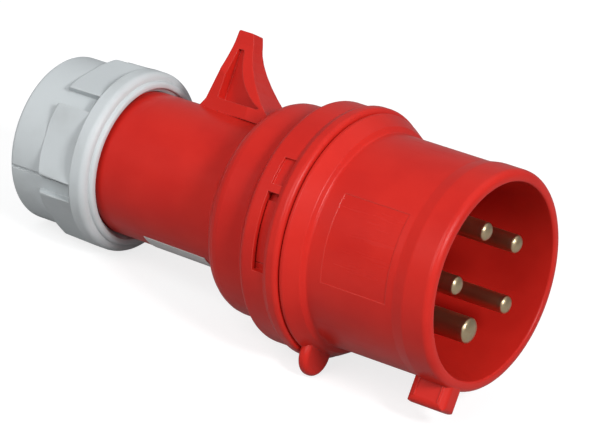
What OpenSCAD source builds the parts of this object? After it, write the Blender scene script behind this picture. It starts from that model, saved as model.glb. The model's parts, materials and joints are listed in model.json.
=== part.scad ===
// Industrial pin and sleeve plug, 16 A, five poles, earth contact at 6 o'clock.
// Each piece is drawn upright in the plug's own frame: the axis is Z, the rim of
// the sleeve is at z = 0, the mouth faces +Z and the pull fin points to +Y.
// lying() then lays the plug down as it comes to rest, with +Z of the row up.

/* [Sleeve] */
// Outer radius of the sleeve
sleeve_r = 29.45; // [28.8:0.05:29.8]
// Outer radius of the band behind the rim
band_r = 30.1; // [29.9:0.05:30.6]
// Length of the band, back from the rim
band_l = 10; // [6:0.5:14]
// Inner radius of the sleeve at the rim
mouth_r = 26.9; // [26.5:0.05:27.2]
// Inner radius of the sleeve at its base
mouth_base_r = 26.4; // [25.5:0.05:26.6]
// Depth of the sleeve, from the rim to the base wall
sleeve_depth = 40; // [38:0.5:40.5]
// Thickness of the base wall
base_wall = 4; // [3.5:0.1:5]

/* [Flange and key] */
// Radius of the flange's edge
flange_r = 33.3; // [32.5:0.1:33.8]
// Radius of the shoulder where the flange's front face ends
shoulder_r = 31; // [30.4:0.1:31.4]
// Length of the cone from the shoulder to the flange's edge
flange_cone_l = 3.9; // [3.4:0.1:4.4]
// Width of the flange's edge
flange_edge = 1; // [0.8:0.1:1.6]
// Radius at which the tab's tip ends
tab_tip_r = 39.1; // [38:0.1:39.5]
// Half width of the tab, and the radius of its tip
tab_half_w = 5.8; // [5:0.1:6.4]
// Thickness of the tab
tab_t = 3.2; // [2.8:0.1:4]
// Turn of the tab away from 6 o'clock
tab_turn = 3.4; // [0:0.2:6]
// Radius at which the key lug ends
key_tip_r = 36.4; // [35:0.1:37]
// Width of the key lug
key_w = 7; // [6:0.1:8]
// Length of the key lug, back from the rim
key_l = 12; // [10:0.5:14]
// Distance of the bare panel behind the rim
panel_from = 14; // [12:0.5:16]
// Length of the bare panel along the sleeve
panel_l = 20.5; // [14:0.5:22]

/* [Contacts] */
// Radius of the circle that the contacts stand on
pitch_r = 14.1; // [13.8:0.05:14.2]
// Diameter of the phase and neutral contacts
pin_d = 5; // [4.8:0.1:5.2]
// Diameter of the earth contact
earth_d = 7; // [6.8:0.1:7.2]
// Depth of the contacts' tips behind the rim
pin_recess = 1.6; // [1.2:0.1:4]
// Height of the low dome on each contact's tip
pin_dome = 1.3; // [0.6:0.1:1.5]
// Diameter of a terminal barrel
barrel_d = 8.6; // [8.4:0.1:9]
// Length of a terminal barrel
barrel_l = 17; // [16:0.5:18]
// Diameter of the hole for a wire
wire_d = 4.4; // [4:0.1:4.8]
// Diameter of the terminal screws
screw_d = 4; // [3.5:0.1:4]

/* [Bayonet] */
// Outer radius of the collar that the rear housing slides over
collar_r = 30.8; // [30.4:0.05:30.9]
// Height of the bayonet lugs over the collar
lug_h = 1.1; // [0.8:0.05:1.2]
// Width of each lug as an angle
lug_a = 30; // [26:1:34]
// Turn between the locked and the open position
twist_a = 40; // [38:1:42]
// Middle of the lug that shows in the long window
lug_mid = 194; // [190:1:198]

/* [Rear housing] */
// Height of the front crest over the ring behind it
crest_h = 1; // [0.7:0.05:1.5]
// Wall of the ring outside the bayonet slots
ring_wall = 1.4; // [1.2:0.05:1.8]
// Height of the index mark under the crest
mark_h = 0.35; // [0.3:0.05:0.45]
// Turn of the index mark away from the lowest point of the crest
mark_turn = 6.5; // [5:0.5:8]
// Radius of the drum behind the ring
drum_r = 29.5; // [29:0.1:30]
// Length of the drum
drum_l = 11; // [9:0.5:12]
// Radius of the neck where it leaves the shoulder
neck_r = 20.5; // [20.3:0.05:20.7]
// Radius of the neck at the gland nut
neck_end_r = 20.1; // [19.9:0.05:20.2]
// Length of the neck, from the shoulder to the thread
neck_l = 40; // [38:0.5:42]
// Wall of the neck and the drum
wall = 2.5; // [2.2:0.1:2.8]

/* [Pull fin] */
// Height of the fin's tip over the axis
fin_h = 42.6; // [38:0.2:44]
// Thickness of the fin at its tip
fin_tip_t = 4.8; // [4:0.1:5.5]
// Thickness of the fin at the neck, in front
fin_root_t = 14; // [12:0.2:15]
// Thickness of the fin at the neck, along its back
fin_back_t = 7.6; // [7:0.2:10]
// Length of the fin's flat top
fin_top_l = 4.8; // [4:0.1:6]
// Thickness of the web between the pockets
fin_web_t = 2.6; // [2:0.1:3]

/* [Cable gland] */
// Radius of the round part of the nut
nut_r = 23.1; // [22.9:0.05:23.4]
// Radius of the nut's front ring and of the corners of its pads
nut_ring_r = 25.4; // [25:0.1:25.8]
// Overall length of the nut
nut_l = 29; // [28:0.5:30]
// Length of the thread that the nut runs on
thread_l = 14.5; // [13.5:0.5:15]
// Radius of the hole for the cable in the nut
nut_hole_r = 11.2; // [10.8:0.1:11.4]
// Diameter of the bore of the inner seal, for the thinnest cable
seal_d = 13; // [11:0.5:15]
// Diameter at which the inner seal parts from the outer one
seal_split_d = 20.2; // [19:0.2:21]

/* [Hidden] */
$fn = 96;
e = 0.5;                    // overshoot of a cutter past the face it opens

red = [0.80, 0.13, 0.11];
grey = [0.78, 0.80, 0.80];
black = [0.13, 0.13, 0.14];
brass = [0.76, 0.68, 0.50];
steel = [0.72, 0.73, 0.75];
rubber = [0.16, 0.16, 0.17];

gap = 0.3;                  // between pieces that move, or that seat loosely
seat = 0.1;                 // between pieces that are pushed into each other
fit = 0.1;                  // between pieces that turn on each other

// Positions of the contacts, seen from the front: earth at 6 o'clock.
earth_at = -90;
contact_at = [for (k = [0:4]) earth_at + 72 * k];

// Stations along the axis, counted back from the rim.
base_z = -sleeve_depth;
base_back_z = base_z - base_wall;
shoulder_z = base_z - 0.3;
flange_z = shoulder_z - flange_cone_l;
flange_back_z = flange_z - flange_edge;
housing_z = flange_back_z - gap;
crest_end_z = housing_z - 3.1;
ring_z = housing_z - 4.9;
lug_z = ring_z + 0.2;       // front of the bayonet lugs
lug_l = 3.6;
seal_z = lug_z - lug_l - 1.9;
collar_end_z = seal_z - 1.4;
ring_end_z = collar_end_z - 0.6;
drum_z = ring_end_z - 3;
drum_end_z = drum_z - drum_l;
neck_z = drum_end_z - 6;
neck_end_z = neck_z - neck_l;
thread_end_z = neck_end_z - 1 - thread_l;

terminal_z = base_back_z - 3;              // face that the barrels bear on
barrel_end_z = terminal_z - barrel_l;
terminal_screw_z = terminal_z - barrel_l + 3.8;
carrier_end_z = barrel_end_z - seat;
cover_t = 2;
cover_end_z = carrier_end_z - cover_t;

collar_in_r = collar_r - wall;
lug_r = collar_r + lug_h;
socket_r = collar_r + fit;                 // bore of the rear housing
groove_r = lug_r + 2 * fit;
ring_r = groove_r + ring_wall;
crest_r = ring_r + crest_h;

// How the plug lies: on the index mark of the crest and the end of the gland nut,
// and rolled until the tab touches the ground too. reach() is how far below the
// axis a ring of radius r goes whose rear edge, at z, has the corner radius a.
nut_z = thread_end_z - 12.2 + nut_l;       // front of the gland nut
nut_end_z = nut_z - nut_l;
edge_round = 1.2;
tab_round = 1.3;
rest_r = (crest_r + mark_h - edge_round) * cos(mark_turn) + edge_round;
rest_pitch = atan((rest_r - nut_r) / (crest_end_z - nut_end_z));
function reach(r, z, a) = (r - a) * cos(rest_pitch) - (z + a) * sin(rest_pitch) + a;
tab_centre_r = tab_tip_r - tab_half_w;
tab_back_z = flange_back_z + 0.1;
tab_drop = tab_round - tab_half_w
         + (reach(rest_r, crest_end_z, edge_round) - reach(tab_round, tab_back_z, tab_round))
         / cos(rest_pitch);
rest_roll = acos(min(1, tab_drop / tab_centre_r)) - tab_turn;

// Lays a piece down: the axis runs along X, the mouth faces +X and a little up,
// and the fin leans to +Y until the tab touches the ground.
module lying() {
    rotate([-rest_roll, -rest_pitch, 0]) rotate([90, 0, 90]) children();
}

// The corner b of the outline a, b, c, rounded with the radius in b[2].
function corner(a, b, c) =
    b[2] == undef || b[2] == 0 ? [[b[0], b[1]]] :
    let (p = [b[0], b[1]],
         u = unit([a[0], a[1]] - p),
         v = unit([c[0], c[1]] - p),
         half = acos(u * v) / 2,
         mid = p + unit(u + v) * b[2] / sin(half),
         start = p + u * b[2] / tan(half) - mid,
         sweep = (180 - 2 * half) * sign(cross(u, v)) * -1,
         n = max(2, ceil(abs(sweep) / 15)))
    [for (i = [0:n]) mid + turn(start, sweep * i / n)];
function unit(v) = v / norm(v);
function turn(v, a) = [v[0] * cos(a) - v[1] * sin(a), v[0] * sin(a) + v[1] * cos(a)];

// An outline with each corner [x, y, radius] rounded.
function rounded(p) = [
    for (i = [0:len(p) - 1])
        each corner(p[(i + len(p) - 1) % len(p)], p[i], p[(i + 1) % len(p)])];

module revolve(outline) rotate_extrude() polygon(rounded(outline));

// A ring segment of the outline, from angle a0 to a1.
module segment(outline, a0, a1)
    rotate([0, 0, a0]) rotate_extrude(angle = a1 - a0) polygon(rounded(outline));

module ring(r_in, r_out, z0, z1)
    revolve([[r_in, z0], [r_out, z0], [r_out, z1], [r_in, z1]]);

module rod(r, z0, z1) translate([0, 0, min(z0, z1)]) cylinder(r = r, h = abs(z1 - z0));

// ---------------------------------------------------------------- front sleeve

sleeve_outline = [
    [mouth_r, 0, 0.7],
    [band_r, 0, 1.9],
    [band_r, -band_l + 1.8, 3],
    [sleeve_r, -band_l - 1.8, 3],
    [sleeve_r, shoulder_z + 1, 0.8],
    [shoulder_r, shoulder_z + 0.1, 0.5],
    [flange_r, flange_z, 0.4],
    [flange_r, flange_back_z, 0.4],
    [collar_r, flange_back_z],
    [collar_r, seal_z + 0.8],
    [collar_r - 1.4, seal_z + 0.8],
    [collar_r - 1.4, seal_z - 0.8],
    [collar_r, seal_z - 0.8],
    [collar_r, collar_end_z, 0.2],
    [collar_in_r, collar_end_z, 0.2],
    [collar_in_r, base_back_z],
    [2, base_back_z],
    [2, base_z],
    [mouth_base_r, base_z, 1],
];

// The key: a block that is rounded in plan, along its foot and at its heel.
module key_lug() {
    back_z = -key_l - 0.3;
    front_z = -0.3;
    intersection() {
        translate([0, 0, back_z]) linear_extrude(key_l) polygon(rounded([
            [-key_w / 2, -sleeve_r + 1.5], [-key_w / 2, -key_tip_r, 2],
            [key_w / 2, -key_tip_r, 2], [key_w / 2, -sleeve_r + 1.5]]));
        rotate([90, 0, 0]) translate([0, 0, sleeve_r - 4]) linear_extrude(key_tip_r)
            polygon(rounded([
                [-key_w / 2, back_z, 2.4], [-key_w / 2, front_z, 2],
                [key_w / 2, front_z, 2], [key_w / 2, back_z, 2.4]]));
        mirror([0, 1, 0]) across([
            [back_z, sleeve_r - 2], [back_z, key_tip_r, 1.6],
            [front_z, key_tip_r, 1.6], [front_z, sleeve_r - 2]], key_w + 2);
    }
}

// The tab under the flange, a tongue with a round tip and soft edges.
module flange_tab() rotate([0, 0, -tab_turn]) translate([0, -tab_centre_r, tab_back_z]) {
    edge = [[0, 0], [tab_half_w, 0, tab_round], [tab_half_w, tab_t, tab_round], [0, tab_t]];
    revolve(edge);
    rotate([-90, 0, 0]) for (s = [0, 1]) mirror([s, 0, 0])
        linear_extrude(tab_centre_r - collar_r + 1) mirror([0, 1, 0]) polygon(rounded(edge));
}

module bayonet_lugs()
    for (k = [0:2])
        segment([[collar_r - 1, lug_z], [lug_r, lug_z, 0.2],
                 [lug_r, lug_z - lug_l, 0.2], [collar_r - 1, lug_z - lug_l]],
                lug_mid + 120 * k - lug_a / 2, lug_mid + 120 * k + lug_a / 2);

panel_t = 0.12;             // depth of the bare panel
panel_at = [163, 211];      // and the angles at which it starts and ends
carrier_screw_at = [earth_at + 108, earth_at + 252];
carrier_screw_r = 17.5;

module front_sleeve() lying() color(red)
    difference() {
        union() {
            revolve(sleeve_outline);
            rod(3, base_back_z, base_z);
            key_lug();
            flange_tab();
            bayonet_lugs();
        }
        for (a = contact_at) rotate([0, 0, a]) translate([pitch_r, 0, 0])
            rod(shank_r(a) + 0.05, base_back_z - e, base_z + e);
        for (a = carrier_screw_at) rotate([0, 0, a]) translate([carrier_screw_r, 0, 0])
            rod(1.5, base_back_z - e, base_back_z + 3);
        // bare marking panel
        segment([[sleeve_r - panel_t, -panel_from], [sleeve_r + 1, -panel_from],
                 [sleeve_r + 1, -panel_from - panel_l],
                 [sleeve_r - panel_t, -panel_from - panel_l]], panel_at[0], panel_at[1]);
    }

// -------------------------------------------------------------------- contacts

function is_earth(a) = a == earth_at;
function contact_r(a) = (is_earth(a) ? earth_d : pin_d) / 2;
function shank_r(a) = contact_r(a) + 0.2;

// The low dome of a contact's tip: a quarter ellipse from its rim to its crown.
function tip(r) = [for (t = [0:15:90]) [r * cos(t), pin_dome * (sin(t) - 1) - pin_recess]];

// A contact: domed tip, shank in the base wall, terminal barrel behind.
module contact(a) color(brass) rotate([0, 0, a]) translate([pitch_r, 0, 0])
    difference() {
        union() {
            revolve([[0, base_z], [contact_r(a), base_z], each tip(contact_r(a))]);
            rod(shank_r(a), terminal_z, base_z);
            revolve([[0, terminal_z], [barrel_d / 2, terminal_z, 0.4],
                     [barrel_d / 2, barrel_end_z, 0.4], [0, barrel_end_z]]);
        }
        rod(wire_d / 2, barrel_end_z - e, barrel_end_z + 12);
        translate([0, 0, terminal_screw_z]) rotate([0, 90, 0])
            rod(screw_d / 2, 0, barrel_d);
    }

module pin_l1() lying() contact(contact_at[1]);
module pin_l2() lying() contact(contact_at[2]);
module pin_l3() lying() contact(contact_at[3]);
module pin_n() lying() contact(contact_at[4]);
module pin_pe() lying() contact(contact_at[0]);

// A slotted terminal screw, standing on its barrel and pointing outwards.
module terminal_screw(a) color(steel) rotate([0, 0, a])
    translate([pitch_r, 0, terminal_screw_z]) rotate([0, 90, 0])
    difference() {
        revolve([[0, wire_d / 2 - 0.9], [screw_d / 2 - 0.05, wire_d / 2 - 0.9, 0.4],
                 [screw_d / 2 - 0.05, barrel_d / 2 + 0.2],
                 [3, barrel_d / 2 + 0.2, 0.2], [3, barrel_d / 2 + 2.6, 0.4],
                 [0, barrel_d / 2 + 2.6]]);
        translate([-4, -0.45, barrel_d / 2 + 1.5]) cube([8, 0.9, 2]);
    }

module terminal_screw_l1() lying() terminal_screw(contact_at[1]);
module terminal_screw_l2() lying() terminal_screw(contact_at[2]);
module terminal_screw_l3() lying() terminal_screw(contact_at[3]);
module terminal_screw_n() lying() terminal_screw(contact_at[4]);
module terminal_screw_pe() lying() terminal_screw(contact_at[0]);

// ------------------------------------------------------------- contact carrier

carrier_r = pitch_r + barrel_d / 2 + 2;

module contact_carrier() lying() color(black)
    difference() {
        revolve([[3.5, base_back_z], [collar_in_r - seat, base_back_z, 0.3],
                 [collar_in_r - seat, terminal_z, 0.3], [carrier_r, terminal_z, 0.3],
                 [carrier_r, carrier_end_z], [3.5, carrier_end_z]]);
        for (a = contact_at) rotate([0, 0, a]) translate([pitch_r, 0, 0]) {
            rod(shank_r(a) + 0.05, terminal_z - e, base_back_z + e);
            rod(barrel_d / 2 + seat, carrier_end_z - e, terminal_z);
            translate([0, 0, terminal_screw_z]) rotate([0, 90, 0]) rod(3.3, 0, carrier_r);
        }
        for (a = carrier_screw_at) rotate([0, 0, a]) translate([carrier_screw_r, 0, 0])
            rod(1.6, carrier_end_z - e, base_back_z + e);
    }

module carrier_cover() lying() color(black)
    difference() {
        revolve([[0, carrier_end_z], [carrier_r, carrier_end_z],
                 [carrier_r, cover_end_z, 0.4], [0, cover_end_z]]);
        for (a = contact_at) rotate([0, 0, a]) translate([pitch_r, 0, 0])
            revolve([[0, cover_end_z - e], [wire_d / 2 + 1.2 + e, cover_end_z - e],
                     [wire_d / 2 - e, carrier_end_z + e], [0, carrier_end_z + e]]);
        for (a = carrier_screw_at) rotate([0, 0, a]) translate([carrier_screw_r, 0, 0])
            rod(1.6, cover_end_z - e, carrier_end_z + e);
    }

module carrier_screw(a) color(steel) rotate([0, 0, a]) translate([carrier_screw_r, 0, 0])
    difference() {
        revolve([[0, base_back_z + 2.6], [1.45, base_back_z + 2.2],
                 [1.45, cover_end_z], [2.8, cover_end_z, 0.2],
                 [2.8, cover_end_z - 1.9, 0.7], [0, cover_end_z - 1.9]]);
        for (t = [0, 90]) rotate([0, 0, t])
            translate([-1.6, -0.3, cover_end_z - 3]) cube([3.2, 0.6, 2.2]);
    }

module carrier_screw_left() lying() carrier_screw(carrier_screw_at[1]);
module carrier_screw_right() lying() carrier_screw(carrier_screw_at[0]);

module housing_seal() lying() color(rubber)
    rotate_extrude() translate([collar_r - 0.6, seal_z]) circle(r = 0.7, $fn = 24);

// ---------------------------------------------------------------- rear housing

thread_r = neck_end_r - 0.1;
thread_root_r = thread_r - 0.8;            // floor of the zone that is threaded
thread_land_l = 2;                         // plain land at each end of it
shelf_depth = 7;                           // how far in the seals bear on a shelf
shelf_z = thread_end_z + shelf_depth;
shelf_l = 3;
shelf_r = seal_split_d / 2 + 3;

housing_outline = [
    [socket_r, housing_z, 0.3],
    [crest_r, housing_z, 1.3],
    [crest_r, crest_end_z, edge_round],
    [ring_r, ring_z, 0.6],
    [ring_r, ring_end_z, 1.6],
    [drum_r, drum_z, 1.2],
    [drum_r, drum_end_z, 5],
    [neck_r, neck_z, 1.8],
    [neck_end_r, neck_end_z, 0.3],
    [thread_root_r, neck_end_z - 0.4],
    [thread_root_r, neck_end_z - 1],
    [thread_r, neck_end_z - 1.5],
    [thread_r, neck_end_z - 1.5 - thread_land_l],
    [thread_root_r, neck_end_z - 2.3 - thread_land_l],
    [thread_root_r, thread_end_z + thread_land_l + 0.8],
    [thread_r, thread_end_z + thread_land_l],
    [thread_r, thread_end_z, 0.6],
    [neck_end_r - wall, thread_end_z, 0.3],
    [neck_end_r - wall, shelf_z],
    [shelf_r, shelf_z],
    [shelf_r, shelf_z + shelf_l],
    [neck_end_r - wall, shelf_z + shelf_l],
    [neck_r - wall - 0.4, neck_z, 1.5],
    [drum_r - wall, drum_end_z + 1, 4],
    [drum_r - wall, collar_end_z - gap],
    [socket_r, collar_end_z - gap],
];

// The fin seen from the side: upright back, concave front, flat top.
fin_back_z = neck_z - 22.7;                // upright back of the fin
fin_foot_r = neck_r - 1;
fin_foot_l = 40;                           // more than the length of its foot
fin_wedge_l = 14;                          // over which the foot grows wider
fin_side = [
    [fin_back_z - 3.4, fin_foot_r],
    [fin_back_z - 1.8, neck_r + 1.6],
    [fin_back_z - 0.4, neck_r + 10],
    [fin_back_z, fin_h, 0.5],
    [fin_back_z + fin_top_l, fin_h, 0.5],
    each sweep([fin_back_z + fin_top_l + 1, fin_h - 2.4],
               [fin_back_z + fin_top_l + 3.2, fin_h - 11.5],
               [drum_end_z - 4, fin_foot_r])];

// The same outline brought in by the rims round a pocket.
pocket_side = [
    [fin_back_z + 2.3, neck_r + 2.6, 0.8],
    [fin_back_z + 1.8, fin_h - 5, 0.4],
    [fin_back_z + fin_top_l - 1, fin_h - 5, 0.4],
    each sweep([fin_back_z + fin_top_l - 0.2, fin_h - 7],
               [fin_back_z + fin_top_l + 2.4, fin_h - 14.5],
               [fin_back_z + fin_top_l + 12.6, neck_r + 3]),
    [fin_back_z + fin_top_l + 12.2, neck_r + 2.6, 0.4]];

// The fin seen from the front: a narrow tip that spreads out to the root.
fin_front = [
    [fin_root_t / 2, fin_foot_r - 1],
    each sweep([fin_root_t / 2, neck_r + 4],
               [fin_tip_t / 2 + 0.6, fin_h - 9],
               [fin_tip_t / 2, fin_h - 3.5]),
    [fin_tip_t / 2, fin_h + 1]];

// A parabola from a to b that leaves and arrives along the lines to c.
function sweep(a, c, b) = [
    for (t = [0:0.125:1]) a * (1 - t) * (1 - t) + c * 2 * t * (1 - t) + b * t * t];

// Extrudes an outline given as [z, y] across the plug, w wide.
module across(outline, w)
    rotate([0, -90, 0]) translate([0, 0, -w / 2]) linear_extrude(w)
        polygon(rounded(outline));

module pull_fin()
    difference() {
        intersection() {
            across(fin_side, fin_root_t);
            fin_wedge();
            translate([0, 0, fin_back_z - 5]) linear_extrude(fin_foot_l) for (s = [0, 1])
                mirror([s, 0, 0]) polygon([[0, fin_foot_r - 1], each fin_front, [0, fin_h + 1]]);
        }
        for (s = [-1, 1]) translate([s * (fin_web_t / 2 + 5), 0, 0]) across(pocket_side, 10);
    }

// The fin in plan, a little narrower along its back.
module fin_wedge()
    rotate([-90, 0, 0]) mirror([0, 1, 0]) linear_extrude(fin_h + 1) polygon([
        [-fin_back_t / 2, fin_back_z - 4], [fin_back_t / 2, fin_back_z - 4],
        [fin_root_t / 2, fin_back_z + fin_wedge_l], [fin_root_t / 2, fin_back_z + fin_foot_l],
        [-fin_root_t / 2, fin_back_z + fin_foot_l], [-fin_root_t / 2, fin_back_z + fin_wedge_l]]);

// Slots inside the front of the rear housing for the bayonet lugs.
module bayonet_slots()
    for (k = [0:2]) {
        a = lug_mid + 120 * k;
        track = [[socket_r - 1, lug_z + 0.3], [groove_r, lug_z + 0.3],
                 [groove_r, lug_z - lug_l - 0.3], [socket_r - 1, lug_z - lug_l - 0.3]];
        mouth = [[socket_r - 1, housing_z + e], [groove_r, housing_z + e],
                 [groove_r, lug_z - lug_l - 0.3], [socket_r - 1, lug_z - lug_l - 0.3]];
        segment(track, a - twist_a - lug_a / 2 - 1, a + lug_a / 2 + 0.5);
        segment(mouth, a - twist_a - lug_a / 2 - 1, a - twist_a + lug_a / 2 + 1);
    }

// The windows over the bayonet track: a blind one for the catch, and a long one.
catch_at = [158, 171.5];
catch_depth = 0.9;
window_at = [175.4, 212.5];

module window(at, depth)
    segment([[ring_r - depth, ring_z + 0.4], [ring_r + 2, ring_z + 0.4],
             [ring_r + 2, lug_z - lug_l], [ring_r - depth, lug_z - lug_l]], at[0], at[1]);

// The raised mark on the crest that lines up with the tab when the lock is shut.
mark_at = earth_at + rest_roll + mark_turn;
mark_w = 2.5;               // its width as an angle
module index_mark()
    segment([[crest_r - 1, housing_z - 0.5], [crest_r + mark_h, housing_z - 0.5, 0.5],
             [crest_r + mark_h, crest_end_z, edge_round], [crest_r - 1, crest_end_z]],
            mark_at, mark_at + mark_w);

module rear_housing() lying() color(red)
    difference() {
        union() {
            revolve(housing_outline);
            index_mark();
            difference() {
                pull_fin();
                rod(fin_foot_r, neck_end_z, drum_z);
            }
        }
        bayonet_slots();
        window(catch_at, catch_depth);
        window(window_at, ring_r - groove_r + 0.5);
    }

// ----------------------------------------------------------------- cable gland

basket_r = neck_end_r - wall - seat;
basket_in_r = basket_r - 2.1;
finger_tip_r = basket_in_r + 1.1;
finger_l = 6.8;
finger_root_z = thread_end_z - 2.2;         // where the slots between them end
finger_end_z = thread_end_z - finger_l;
fingers = 12;
finger_slot = 1.2;

module clamping_basket() lying() color(grey)
    difference() {
        revolve([[basket_in_r, shelf_z - seat, 0.3], [basket_r, shelf_z - seat, 0.3],
                 [basket_r, thread_end_z], [thread_r - 0.6, thread_end_z, 0.2],
                 [thread_r - 0.6, thread_end_z - 1.6, 0.3], [basket_r + 1.3, thread_end_z - 1.8],
                 [finger_tip_r, finger_end_z, 0.4], [basket_in_r, finger_end_z]]);
        for (k = [0:fingers - 1]) rotate([0, 0, 360 / fingers * k])
            translate([0, -finger_slot / 2, finger_end_z - e])
            cube([thread_r, finger_slot, finger_root_z - finger_end_z + e]);
    }

module cable_seal_outer() lying() color(rubber)
    ring(seal_split_d / 2, basket_in_r - seat, finger_end_z + 0.1, shelf_z - gap);

module cable_seal_inner() lying() color(rubber)
    ring(seal_d / 2, seal_split_d / 2 - seat, finger_end_z + 0.1, shelf_z - gap);

slip_r = basket_in_r + 0.5;
slip_end_z = finger_end_z - 1.5;

module slip_ring() lying() color(grey)
    revolve([[nut_hole_r + 0.2, finger_end_z - gap, 0.3],
             [slip_r, finger_end_z - gap, 0.3],
             [slip_r, slip_end_z, 0.3],
             [nut_hole_r + 0.2, slip_end_z, 0.3]]);

nut_bore_r = thread_r + fit;
nut_mouth_r = neck_end_r + 1.1;             // where the nut runs over the neck
nut_wall_z = slip_end_z - gap;
pocket_r = slip_r + gap;
pad_z = nut_z - 6.3;                        // rear edge of the nut's front ring
pad_end_z = pad_z - 12;
pad_draft = 0.35;                           // fall of the pads' corners to the rear
pad_gap = 5.4;                              // recess at each corner of the hexagon

nut_outline = [
    [nut_mouth_r, nut_z, 0.6],
    [nut_r - 0.2, nut_z, 0.9],
    [nut_r + 0.1, nut_z - 1],
    [nut_r + 0.1, nut_z - 1.2],
    [nut_ring_r, nut_z - 1.2, 2],
    [nut_ring_r, pad_z, 0.3],
    [nut_r, pad_z],
    [nut_r, nut_end_z, edge_round],
    [nut_hole_r, nut_end_z, 1],
    [nut_hole_r, nut_wall_z],
    [pocket_r, nut_wall_z],
    [pocket_r, finger_end_z - 0.2],
    [finger_tip_r + gap, finger_end_z - 0.2],
    [basket_r + 2.2, thread_end_z - 2.2],
    [nut_bore_r, thread_end_z - 1],
    [nut_bore_r, neck_end_z - 0.6],
    [nut_mouth_r, neck_end_z + 0.4],
];

pad_at = [for (k = [0:5]) 6 + 60 * k];     // middles of the six flat pads
groove_at = 212.4;
groove_w = 0.8;

// Six flats on the front half of the nut, parted by a recess at each corner.
module grip_pads()
    difference() {
        intersection() {
            rotate([0, 0, pad_at[0] - 30]) translate([0, 0, pad_end_z])
                cylinder(r = (nut_r + 0.1) / cos(30), h = pad_z - pad_end_z + 0.1, $fn = 6);
            revolve([[nut_r - 1, pad_z + 0.2], [nut_ring_r, pad_z + 0.2],
                     [nut_ring_r - pad_draft, pad_end_z + 1.2, 0.6],
                     [nut_r - 0.2, pad_end_z - 0.6], [nut_r - 1, pad_end_z - 0.6]]);
        }
        for (a = pad_at) rotate([0, 0, a + 30])
            translate([nut_r - 3, -pad_gap / 2, pad_end_z - e])
            cube([nut_ring_r, pad_gap, pad_z - pad_end_z + e]);
    }

module gland_nut() lying() color(grey)
    difference() {
        union() {
            revolve(nut_outline);
            grip_pads();
        }
        // the one groove that runs the whole length
        rotate([0, 0, groove_at]) translate([nut_r - 0.5, -groove_w / 2, nut_end_z - e])
            cube([3, groove_w, pad_z - nut_end_z + e]);
    }

// A thin blank label that follows the taper of the neck.
label_z = neck_z - 5;
label_l = 21;
label_a = 45;
label_t = 0.15;
function neck_radius(z) =
    neck_r + (neck_end_r - neck_r) * (neck_z - z) / (neck_z - neck_end_z);

module type_label() lying() color("white")
    segment([[neck_radius(label_z) + 0.02, label_z],
             [neck_radius(label_z) + label_t, label_z],
             [neck_radius(label_z - label_l) + label_t, label_z - label_l],
             [neck_radius(label_z - label_l) + 0.02, label_z - label_l]],
            earth_at - label_a / 2, earth_at + label_a / 2);

front_sleeve();
rear_housing();
contact_carrier();
carrier_cover();
pin_l1();
pin_l2();
pin_l3();
pin_n();
pin_pe();
terminal_screw_l1();
terminal_screw_l2();
terminal_screw_l3();
terminal_screw_n();
terminal_screw_pe();
carrier_screw_left();
carrier_screw_right();
housing_seal();
clamping_basket();
cable_seal_outer();
cable_seal_inner();
slip_ring();
gland_nut();
type_label();
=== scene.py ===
# %% [markdown]
# # An industrial plug
#
# A five-pole power plug of the kind used on building sites: a keyed sleeve
# round bare contacts, a stepped rear housing with a pull fin, and a grey
# gland nut that clamps the cable. The solids come in as a fixed frame.
# Everything below gives them finishes, adds what is too fine for a solid, and
# puts them on a pale floor in soft light.

# %% Load the frame
import json
import math

import bpy
from mathutils import Matrix, Vector


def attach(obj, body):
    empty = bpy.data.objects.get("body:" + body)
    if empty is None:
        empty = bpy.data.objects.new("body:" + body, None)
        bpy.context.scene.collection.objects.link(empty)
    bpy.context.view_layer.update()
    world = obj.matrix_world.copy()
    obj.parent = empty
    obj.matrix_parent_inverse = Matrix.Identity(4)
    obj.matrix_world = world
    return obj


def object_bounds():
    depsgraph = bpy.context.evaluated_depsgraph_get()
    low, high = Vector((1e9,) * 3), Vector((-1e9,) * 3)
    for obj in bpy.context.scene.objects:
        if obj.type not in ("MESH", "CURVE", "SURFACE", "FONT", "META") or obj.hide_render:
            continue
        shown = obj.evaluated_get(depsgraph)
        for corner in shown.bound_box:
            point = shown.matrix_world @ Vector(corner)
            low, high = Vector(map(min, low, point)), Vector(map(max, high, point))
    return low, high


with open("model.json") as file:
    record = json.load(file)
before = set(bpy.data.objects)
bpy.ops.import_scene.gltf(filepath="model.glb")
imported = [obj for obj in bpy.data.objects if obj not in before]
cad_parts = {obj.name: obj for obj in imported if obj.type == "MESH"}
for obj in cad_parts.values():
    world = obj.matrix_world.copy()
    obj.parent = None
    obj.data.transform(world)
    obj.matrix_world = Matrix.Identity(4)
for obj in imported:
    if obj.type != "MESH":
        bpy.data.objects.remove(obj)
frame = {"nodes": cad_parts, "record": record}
cad_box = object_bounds()
nodes = frame["nodes"]
print("solids:", len(nodes), "box:", [round(x, 4) for x in (*cad_box[0], *cad_box[1])])

# %% [markdown]
# ## The plug's own directions
#
# The plug lies on its side, so its axis isn't one of the row's. Every pattern
# and every added piece is easier to place in the plug's own frame, where Z
# runs out of the mouth and Y points to the fin. Two mounts give it: the mouth
# has the axis, and the earth contact lies straight opposite the fin.

# %% The plug's frame
MM = 0.001
mount = {m["name"]: m for m in frame["record"]["mounts"]}
axis = Vector(mount["sleeve_mouth"]["axis"]).normalized()
earth = Vector(mount["contact_pe"]["pos_m"])
fin_way = -(earth - axis * earth.dot(axis)).normalized()
side_way = fin_way.cross(axis)
TO_ROW = Matrix((side_way, fin_way, axis)).transposed()
TO_PLUG = TO_ROW.transposed()
print("axis", [round(x, 4) for x in axis], "fin", [round(x, 4) for x in fin_way])


def span(node):
    """How far a solid reaches along the plug's axis, in metres from the rim."""
    along = [v.co.dot(axis) for v in nodes[node].data.vertices]
    return min(along), max(along)


print("rear housing from", *[round(z, 4) for z in span("rear_housing")])

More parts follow.
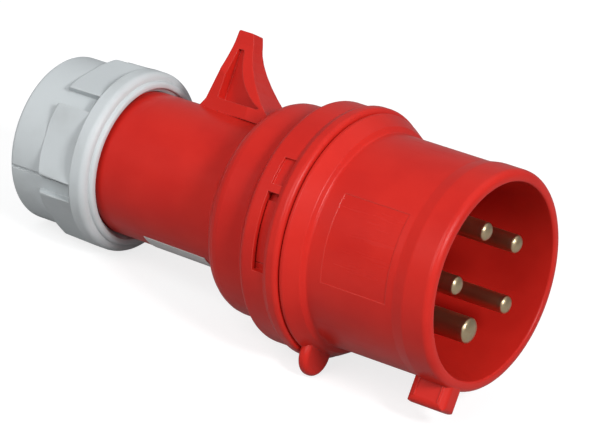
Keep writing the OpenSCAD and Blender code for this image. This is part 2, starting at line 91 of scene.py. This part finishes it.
# %% [markdown]
# ## The camera
#
# A long lens from a little over a metre away, above the plug and between its
# mouth and its side, so that the contacts show and the gland still does.
# The camera is tipped slightly to its side, which gives the plug its slope.

# %% Camera
bpy.ops.object.select_all(action="DESELECT")
bpy.ops.object.camera_add(
    location=(0.53659, -0.92123, 0.46778),
    rotation=[math.radians(a) for a in (66.1277, -10.4313, 37.6295)],
)
camera = bpy.context.object
camera.name = "camera"
camera.data.lens = 270
camera.data.sensor_width = 36
camera.data.clip_start, camera.data.clip_end = 0.05, 50
bpy.context.scene.camera = camera
print("camera", [round(x, 3) for x in camera.location])

# %% [markdown]
# ## A short way to write materials
#
# A material is a small calculation that runs at every point of a surface.
# Wiring it node by node is long-winded, so `Value` wraps one socket and lets
# plain sums and products of it add the Math nodes. `Finish` makes a material
# and has one method, `node`, for every other kind of node.


# %% Values and finishes
class Value:
    """A number, colour or vector in a material."""

    def __init__(self, finish, socket):
        self.finish, self.socket = finish, socket

    def maths(self, operation, a, b):
        return self.finish.node(
            "ShaderNodeMath", {"operation": operation}, {0: a, 1: b}
        )

    def __add__(self, other):
        return self.maths("ADD", self, other)

    def __radd__(self, other):
        return self.maths("ADD", other, self)

    def __sub__(self, other):
        return self.maths("SUBTRACT", self, other)

    def __rsub__(self, other):
        return self.maths("SUBTRACT", other, self)

    def __mul__(self, other):
        return self.maths("MULTIPLY", self, other)

    def __rmul__(self, other):
        return self.maths("MULTIPLY", other, self)

    def fade(self, start, end):
        """0 before start, 1 after end, and smooth between them."""
        return self.finish.node(
            "ShaderNodeMapRange",
            {"interpolation_type": "SMOOTHSTEP"},
            {"Value": self, "From Min": start, "From Max": end},
        )


class Finish:
    """A material, and the nodes that make it."""

    def __init__(self, name, **constants):
        self.material = bpy.data.materials.new(name)
        self.material.use_nodes = True
        self.tree = self.material.node_tree
        self.shader = self.tree.nodes["Principled BSDF"]
        for socket, value in constants.items():
            self.shader.inputs[socket.replace("_", " ")].default_value = value

    def node(self, kind, settings=(), inputs=(), output=0):
        made = self.tree.nodes.new(kind)
        for name, value in dict(settings).items():
            setattr(made, name, value)
        for name, value in dict(inputs).items():
            self.feed(made.inputs[name], value)
        return Value(self, made.outputs[output])

    def feed(self, socket, value):
        if isinstance(value, Value):
            self.tree.links.new(value.socket, socket)
        else:
            socket.default_value = value

    def shade(self, **sockets):
        """Sends values to the shader, by the name of its socket."""
        for name, value in sockets.items():
            self.feed(self.shader.inputs[name.replace("_", " ")], value)

    def mix(self, amount, a, b):
        """Colour a where amount is 0, b where it is 1."""
        return self.node(
            "ShaderNodeMix",
            {"data_type": "RGBA"},
            {0: amount, 6: (*a, 1) if isinstance(a, tuple) else a, 7: (*b, 1)},
            2,
        )


print("one class for values, one for finishes")

# %% [markdown]
# ## Patterns that several finishes share
#
# All patterns read Object coordinates, turned into the plug's own frame by a
# Mapping node, so grain and scuffs run along the axis or round it. Moulded
# edges are never quite sharp: a Bevel node gives the normal that a rounded
# edge would have, and where that differs from the true one there is an
# edge, which on a handled part is also where it is worn. On the red plastic
# that edge is also lightened as a painted highlight.


# %% Shared patterns
def plug_point(finish):
    """The point's place in the plug's frame."""
    place = finish.node("ShaderNodeTexCoord", output="Object")
    return finish.node(
        "ShaderNodeMapping", {}, {"Vector": place, "Rotation": TO_PLUG.to_euler()}
    )


def along_axis(finish, point):
    """How far along the axis a point is, from the rim."""
    return finish.node("ShaderNodeSeparateXYZ", {}, {0: point}, "Z")


def from_axis(finish, point):
    """How far from the axis a point is."""
    flat = finish.node(
        "ShaderNodeVectorMath", {"operation": "MULTIPLY"}, {0: point, 1: (1, 1, 0)}
    )
    return finish.node("ShaderNodeVectorMath", {"operation": "LENGTH"}, {0: flat}, 1)


def cloudy(finish, point, size, detail=2.0, stretch=(1, 1, 1)):
    """Soft noise from 0 to 1, whose patches are about size across."""
    scaled = finish.node(
        "ShaderNodeVectorMath", {"operation": "MULTIPLY"}, {0: point, 1: stretch}
    )
    return finish.node(
        "ShaderNodeTexNoise",
        {},
        {"Vector": scaled, "Scale": 1 / size, "Detail": detail},
    )


def soft_edges(finish, radius):
    """The normal with rounded edges, and a mask of those edges."""
    rounded = finish.node("ShaderNodeBevel", {"samples": 6}, {"Radius": radius})
    true = finish.node("ShaderNodeNewGeometry", output="Normal")
    same = finish.node(
        "ShaderNodeVectorMath", {"operation": "DOT_PRODUCT"}, {0: rounded, 1: true}, 1
    )
    return rounded, 1 - same.fade(0.80, 0.995)


def bumped(finish, height, depth, normal):
    """The normal with a height pattern added, depth metres high."""
    return finish.node(
        "ShaderNodeBump", {}, {"Height": height, "Distance": depth, "Normal": normal}
    )


print("patterns: place, noise, soft edges, bump")

# %% [markdown]
# ## Red plastic
#
# Sleeve and rear housing are injection moulded in red polyamide. It is dyed
# right through, so scuffs lighten it instead of showing another colour. Its
# edges are lighter, partly from such scuffs and partly as a painted highlight
# along them. The mould is lightly eroded, which gives a soft, broad shine.
# The bare marking panel and the rubbed edges are smoother.

# %% Red plastic
RED = (0.585, 0.0205, 0.0130)
RED_DEEP = (0.53, 0.0160, 0.0105)
RED_WORN_AND_HIGHLIGHT = (0.68, 0.075, 0.055)

red = Finish("moulded_red", Specular_IOR_Level=0.22, Coat_Roughness=0.14)
point = plug_point(red)
along, radius = along_axis(red, point), from_axis(red, point)
patches = cloudy(red, point, 18 * MM, 3)
grain = cloudy(red, point, 0.35 * MM, 2)
rubs = cloudy(red, point, 1.6 * MM, 3, stretch=(1, 1, 0.12))
normal, edge = soft_edges(red, 0.3 * MM)
panel = (
    radius.fade(29.41 * MM, 29.38 * MM)  # sunk below the sleeve's face
    * radius.fade(28.5 * MM, 29.0 * MM)  # and outside its bore
    * along.fade(-34.6 * MM, -34.4 * MM)
    * along.fade(-13.9 * MM, -14.1 * MM)
)
colour = red.mix(patches.fade(0.35, 0.7), RED, RED_DEEP)
# Lighter along the edges: partly rubbed wear, partly a painted highlight.
colour = red.mix(edge * (0.35 + 0.5 * patches), colour, RED_WORN_AND_HIGHLIGHT)
gloss = 0.30 + 0.07 * patches + 0.10 * rubs.fade(0.55, 0.75)
gloss = gloss - 0.08 * panel - 0.05 * edge
red.shade(
    Base_Color=colour,
    Roughness=gloss,
    Coat_Weight=0.9 * edge,
    Normal=bumped(red, grain, 0.006 * MM, normal),
)
print("red plastic:", len(red.tree.nodes), "nodes")

# %% [markdown]
# ## Grey plastic
#
# The gland nut is light grey, a little cool, and duller than the housing,
# because its mould is eroded for grip. Dirt lies on it in soft patches, and the
# pads' edges are polished by hands and spanners.

# %% Grey plastic
GREY = (0.56, 0.595, 0.605)
GREY_SOILED = (0.45, 0.475, 0.475)
GREY_WORN = (0.66, 0.68, 0.68)

grey = Finish("moulded_grey", Specular_IOR_Level=0.4)
point = plug_point(grey)
patches = cloudy(grey, point, 12 * MM, 3)
grain = cloudy(grey, point, 0.4 * MM, 2)
normal, edge = soft_edges(grey, 0.5 * MM)
colour = grey.mix(patches.fade(0.45, 0.8) * 0.5, GREY, GREY_SOILED)
colour = grey.mix(edge * 0.6, colour, GREY_WORN)
grey.shade(
    Base_Color=colour,
    Roughness=0.42 + 0.12 * patches - 0.06 * edge,
    Normal=bumped(grey, grain, 0.01 * MM, normal),
)
print("grey plastic:", len(grey.tree.nodes), "nodes")

# %% [markdown]
# ## Contacts
#
# Turned brass with a thin bright plating. It keeps the fine rings of the lathe
# tool. The shanks are rubbed lengthways by the sockets they have been in, so
# brass shows through there. Behind the domes the shanks are coloured a warm
# red-brown, partly that brass and partly a painted reflection of the red
# sleeve around them.

# %% Contact metal
PLATING = (0.54, 0.43, 0.27)
BRASS_AND_RED_REFLECTION = (0.56, 0.28, 0.15)

contact = Finish("plated_brass", Metallic=1.0)
point = plug_point(contact)
along = along_axis(contact, point)
rubs = cloudy(contact, point, 0.7 * MM, 3, stretch=(1, 1, 0.05))
stains = cloudy(contact, point, 4 * MM, 3)
rings = contact.node(
    "ShaderNodeTexWave",
    {"wave_type": "BANDS", "bands_direction": "Z"},
    {"Vector": point, "Scale": 1500, "Distortion": 0.4},
)
normal = soft_edges(contact, 0.3 * MM)[0]
# Behind the domes the colour turns red-brown: partly brass showing through, partly a
# painted reflection of the red sleeve.
shank = along.fade(-3.2 * MM, -4.4 * MM)  # behind the domes
worn = rubs.fade(0.45, 0.8) * (0.3 + 0.5 * stains)
contact.shade(
    Base_Color=contact.mix(worn + (0.75 - 0.75 * worn) * shank, PLATING, BRASS_AND_RED_REFLECTION),
    Roughness=0.22 + 0.06 * shank + 0.14 * stains + 0.10 * rubs,
    Normal=bumped(contact, rings * 0.5 + rubs, 0.0035 * MM, normal),
)
print("contact metal:", len(contact.tree.nodes), "nodes")

# %% [markdown]
# ## The inside
#
# Behind the base wall sit a black carrier with its cover, zinc-plated screws,
# rubber seals, and the grey clamping basket with its slip ring. They show only
# when the plug is opened, but then from close by.

# %% Black carrier
BLACK, BLACK_WORN = (0.014, 0.014, 0.016), (0.05, 0.05, 0.052)

black = Finish("carrier_black", Specular_IOR_Level=0.4)
point = plug_point(black)
patches = cloudy(black, point, 8 * MM, 3)
normal, edge = soft_edges(black, 0.3 * MM)
black.shade(
    Base_Color=black.mix(edge * 0.5 + 0.2 * patches, BLACK, BLACK_WORN),
    Roughness=0.42 + 0.16 * patches,
    Normal=bumped(black, cloudy(black, point, 0.4 * MM), 0.01 * MM, normal),
)

# %% Zinc-plated steel
ZINC, ZINC_DULL = (0.62, 0.63, 0.65), (0.50, 0.50, 0.47)

steel = Finish("zinc_steel", Metallic=1.0)
point = plug_point(steel)
bloom = cloudy(steel, point, 1.5 * MM, 4)
normal = soft_edges(steel, 0.2 * MM)[0]
steel.shade(
    Base_Color=steel.mix(bloom.fade(0.4, 0.75), ZINC, ZINC_DULL),
    Roughness=0.26 + 0.2 * bloom,
    Normal=bumped(steel, cloudy(steel, point, 0.2 * MM), 0.004 * MM, normal),
)

# %% Rubber
RUBBER, RUBBER_DUSTY = (0.018, 0.018, 0.019), (0.07, 0.068, 0.065)

rubber = Finish("seal_rubber", Specular_IOR_Level=0.3)
point = plug_point(rubber)
dust = cloudy(rubber, point, 5 * MM, 4)
normal, edge = soft_edges(rubber, 0.3 * MM)
pale_places = dust.fade(0.45, 0.8) * 0.6 + 0.3 * edge
rubber.shade(
    Base_Color=rubber.mix(pale_places, RUBBER, RUBBER_DUSTY),
    Roughness=0.66 + 0.2 * dust,
    Normal=bumped(rubber, cloudy(rubber, point, 0.3 * MM), 0.02 * MM, normal),
)

# %% Inner grey
INNER, INNER_DULL = (0.46, 0.48, 0.49), (0.38, 0.40, 0.41)

inner = Finish("inner_grey", Specular_IOR_Level=0.4)
point = plug_point(inner)
patches = cloudy(inner, point, 6 * MM, 3)
normal = soft_edges(inner, 0.3 * MM)[0]
inner.shade(
    Base_Color=inner.mix(patches.fade(0.4, 0.8), INNER, INNER_DULL),
    Roughness=0.38 + 0.14 * patches,
    Normal=bumped(inner, cloudy(inner, point, 0.3 * MM), 0.008 * MM, normal),
)

# %% Blank label
PAPER, PAPER_SOILED = (0.74, 0.74, 0.73), (0.60, 0.59, 0.57)

label = Finish("label_white", Specular_IOR_Level=0.45)
point = plug_point(label)
fibre = cloudy(label, point, 1.2 * MM, 5, stretch=(1, 1, 0.5))
normal, edge = soft_edges(label, 0.1 * MM)
soiled = fibre.fade(0.45, 0.8) * 0.5 + 0.3 * edge
label.shade(
    Base_Color=label.mix(soiled, PAPER, PAPER_SOILED),
    Roughness=0.44 + 0.12 * fibre,
    Normal=bumped(label, fibre, 0.012 * MM, normal),
)
print("inner finishes: carrier, steel, rubber, inner grey, label")

# %% Give each solid its finish
finish_of = {
    "red_plastic": red,
    "grey_plastic": grey,
    "contact_metal": contact,
    "carrier_black": black,
    "screw_steel": steel,
    "seal_rubber": rubber,
    "inner_grey": inner,
    "label_white": label,
}
for part in frame["record"]["subparts"]:
    solid = nodes[part["node"]]
    solid.data.materials.clear()
    solid.data.materials.append(finish_of[part["material_slot"]].material)

# %% [markdown]
# ## The thread of the spigot
#
# The gland nut runs on a coarse right-handed thread. Its profile is a low
# trapezium, so it starts as a small plane that stands in the XZ plane and is
# narrowed at its crest. A Screw modifier winds it round the Z axis, 3 mm for
# each turn, which is also how far the nut moves. It ends in the plain lands at
# both ends of the spigot, so the open ends of the winding only need a cap.

# %% Spigot thread
LEAD = 3 * MM
TURNS = 2.8
THREAD_ROOT, THREAD_CREST = 19.1 * MM, 19.95 * MM
THREAD_MID = (THREAD_ROOT + THREAD_CREST) / 2
THREAD_START = 2.6 * MM  # from the spigot's end
FOOT_WIDTH, CREST_SHARE = 2.2 * MM, 0.36
spigot_end = span("rear_housing")[0]

bpy.ops.object.select_all(action="DESELECT")
bpy.ops.mesh.primitive_plane_add(
    size=1,
    location=(THREAD_MID, 0, spigot_end + THREAD_START),
    rotation=(math.pi / 2, 0, 0),
)
thread = bpy.context.object
thread.name = "spigot_thread"
thread.scale = (THREAD_CREST - THREAD_ROOT, FOOT_WIDTH, 1)
bpy.ops.object.transform_apply()
bpy.ops.object.mode_set(mode="EDIT")
bpy.ops.mesh.delete(type="ONLY_FACE")
bpy.ops.object.mode_set(mode="OBJECT")
for vertex in thread.data.vertices:
    vertex.select = vertex.co.x > THREAD_MID
for line in thread.data.edges:
    line.select = all(thread.data.vertices[i].select for i in line.vertices)
bpy.ops.object.mode_set(mode="EDIT")
bpy.ops.transform.resize(value=(1, 1, CREST_SHARE))
bpy.ops.object.mode_set(mode="OBJECT")

wind = thread.modifiers.new("wind", "SCREW")
wind.axis = "Z"
wind.angle = math.tau * TURNS
wind.screw_offset = LEAD * TURNS
wind.steps = wind.render_steps = 200
bpy.ops.object.modifier_apply(modifier=wind.name)
print("wound", TURNS, "turns:", len(thread.data.polygons), "faces")

# %% Cap the thread's ends and place it
bpy.ops.object.mode_set(mode="EDIT")
bpy.ops.mesh.select_all(action="DESELECT")
bpy.ops.mesh.select_mode(type="EDGE")
bpy.ops.mesh.select_non_manifold()
bpy.ops.mesh.edge_face_add()
bpy.ops.mesh.select_all(action="SELECT")
bpy.ops.mesh.normals_make_consistent(inside=False)
bpy.ops.object.mode_set(mode="OBJECT")
bpy.ops.object.shade_smooth_by_angle(angle=math.radians(25))
thread.data.transform(TO_ROW.to_4x4())
thread.data.materials.append(red.material)
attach(thread, "rear")
print("thread reaches", [round(c, 4) for c in thread.dimensions])

# %% [markdown]
# ## The seams on the key
#
# The key lug is formed by the sleeve's mould and by two slides that close on its
# flanks. Where they meet, a fine raised seam runs out along each flank, one by
# the heel and one by the front corner. A seam is a thin half-sunk bar whose ends
# are drawn in to a point, so it starts as a slim cylinder. One is modelled, and
# three copies stand in the other places.

# %% One seam
SEAM_R = 0.3 * MM
SEAM_FROM, SEAM_TO = 29.9 * MM, 34.6 * MM  # from the axis
POINT_INSET, POINT_REACH = 0.12 * MM, 0.3 * MM
FLANK = 3.5 * MM
HEEL, FRONT = -9.8 * MM, -2.3 * MM

bpy.ops.object.select_all(action="DESELECT")
bpy.ops.mesh.primitive_cylinder_add(
    vertices=12,
    radius=SEAM_R,
    depth=SEAM_TO - SEAM_FROM,
    location=(FLANK, -(SEAM_FROM + SEAM_TO) / 2, HEEL),
    rotation=(math.pi / 2, 0, 0),
)
seam = bpy.context.object
seam.name = "key_seams"
bpy.ops.object.transform_apply()
for end, way in ((-SEAM_FROM, 1), (-SEAM_TO, -1)):
    for face in seam.data.polygons:
        face.select = abs(face.center.y - end) < 0.01 * MM
    bpy.ops.object.mode_set(mode="EDIT")
    bpy.ops.mesh.select_mode(type="FACE")
    bpy.ops.mesh.inset(thickness=POINT_INSET)
    bpy.ops.transform.translate(value=(0, way * POINT_REACH, 0))
    bpy.ops.object.mode_set(mode="OBJECT")
print("one seam:", len(seam.data.polygons), "faces")

# %% Four seams, placed as one piece
copies = [seam]
for x, z in ((FLANK, FRONT), (-FLANK, HEEL), (-FLANK, FRONT)):
    copy = seam.copy()
    copy.data = seam.data.copy()
    copy.data.transform(Matrix.Translation((x - FLANK, 0, z - HEEL)))
    bpy.context.collection.objects.link(copy)
    copies.append(copy)
bpy.ops.object.select_all(action="DESELECT")
for copy in copies:
    copy.select_set(True)
bpy.context.view_layer.objects.active = seam
bpy.ops.object.join()
bpy.ops.object.shade_smooth_by_angle(angle=math.radians(40))
seam.data.transform(TO_ROW.to_4x4())
seam.data.materials.append(red.material)
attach(seam, "front")
print("seams:", len(copies))

# %% [markdown]
# ## Floor
#
# The plug lies on a grey floor. To the camera the floor adds a glow of its own,
# so that it looks white all over and the shadow under the plug stays. In a
# glossy reflection only a small share of that glow is seen, and it lights
# nothing, so that the plug's underside stays as dark as it should be.

# %% Floor
FLOOR_GREY = 0.34
FLOOR_GLOW = 0.78
GLOSSY_SHARE = 0.15

ground = cad_box[0].z
bpy.ops.object.select_all(action="DESELECT")
bpy.ops.mesh.primitive_plane_add(size=30, location=(0, 0, ground))
floor = bpy.context.object
floor.name = "floor"
pale = Finish("floor_pale", Specular_IOR_Level=0.0)
pale.shade(Base_Color=(FLOOR_GREY, FLOOR_GREY, FLOOR_GREY, 1), Roughness=0.9)
rays = pale.tree.nodes.new("ShaderNodeLightPath")
camera_ray, through_ray, glossy_ray = (
    Value(pale, rays.outputs[f"Is {kind} Ray"])
    for kind in ("Camera", "Transmission", "Glossy")
)
seen = camera_ray + through_ray + GLOSSY_SHARE * glossy_ray
plain = Value(pale, pale.shader.outputs[0])
glow = pale.node(
    "ShaderNodeEmission", {}, {"Color": (1, 1, 1, 1), "Strength": FLOOR_GLOW}
)
both = pale.node("ShaderNodeAddShader", {}, {0: plain, 1: glow})
pick = pale.node("ShaderNodeMixShader", {}, {0: seen, 1: plain, 2: both})
pale.feed(pale.tree.nodes["Material Output"].inputs["Surface"], pick)
floor.data.materials.append(pale.material)
print("floor at", round(ground, 4))

# %% [markdown]
# ## Light
#
# Soft studio light: a large lamp in front, a little to the left, gives the
# form. A small bright one before the mouth lights the contacts and draws the
# edges, and a wide weak one above opens the top. A dim grey surrounding fills
# what is left. To the camera alone it is white.


# %% Lamps
def lamp(name, place, size, power):
    """A square area light that faces the plug."""
    place = Vector(place)
    aim = Vector((-0.06, 0, 0)) - place
    bpy.ops.object.select_all(action="DESELECT")
    bpy.ops.object.light_add(
        type="AREA", location=place, rotation=aim.to_track_quat("-Z", "Y").to_euler()
    )
    made = bpy.context.object
    made.name = name
    made.data.size = size
    made.data.energy = power


lamp("key", (-0.18, -1.0, 0.73), 0.8, 7.5)
lamp("mouth", (0.80, -0.34, 0.66), 0.28, 9.2)
lamp("top", (0.0, 0.30, 1.1), 1.2, 1.6)

world = bpy.context.scene.world or bpy.data.worlds.new("surrounding")
bpy.context.scene.world = world
world.use_nodes = True
sky = world.node_tree
sky.nodes.clear()
rays = sky.nodes.new("ShaderNodeLightPath")
dim = sky.nodes.new("ShaderNodeBackground")
dim.inputs["Color"].default_value = (0.75, 0.77, 0.80, 1)
dim.inputs["Strength"].default_value = 0.36
white = sky.nodes.new("ShaderNodeBackground")
white.inputs["Color"].default_value = (1, 1, 1, 1)
choice = sky.nodes.new("ShaderNodeMixShader")
output = sky.nodes.new("ShaderNodeOutputWorld")
sky.links.new(rays.outputs["Is Camera Ray"], choice.inputs[0])
sky.links.new(dim.outputs[0], choice.inputs[1])
sky.links.new(white.outputs[0], choice.inputs[2])
sky.links.new(choice.outputs[0], output.inputs["Surface"])
bpy.context.scene.view_settings.view_transform = "Standard"
print("three lamps and a dim surrounding")
